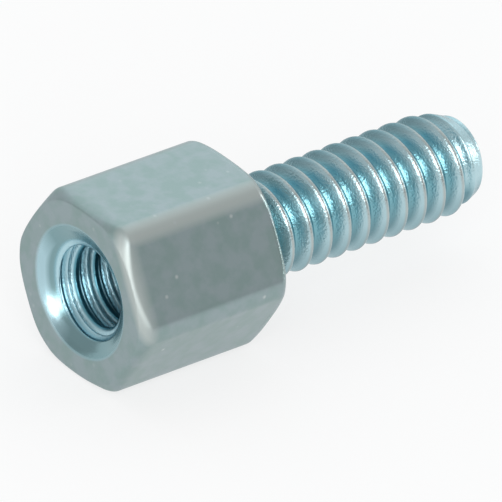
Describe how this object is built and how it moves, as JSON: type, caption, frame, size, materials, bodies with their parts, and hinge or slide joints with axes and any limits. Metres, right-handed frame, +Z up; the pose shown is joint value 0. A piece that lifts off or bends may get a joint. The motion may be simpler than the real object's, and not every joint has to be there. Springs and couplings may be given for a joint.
{
  "type": "jackscrew",
  "caption": "One-piece jackscrew: hexagon head with a tapped, countersunk socket in its end, and a right-hand threaded stud, zinc plated steel.",
  "frame": {"origin": "on the screw's axis, in the plane of the shoulder that seats on a panel", "axes": "+X along the axis to the stud's tip; +Z up, square to the hexagon's upper flat, with the part lying on the lower flat"},
  "size_m": [0.0127, 0.0056, 0.005],
  "materials": {
    "zinc_plated_steel": "bright zinc plating with a clear blue passivate, satin on the hexagon and glossier on the thread"
  },
  "bodies": {
    "root": {"jackscrew": "zinc_plated_steel"}
  },
  "joints": []
}
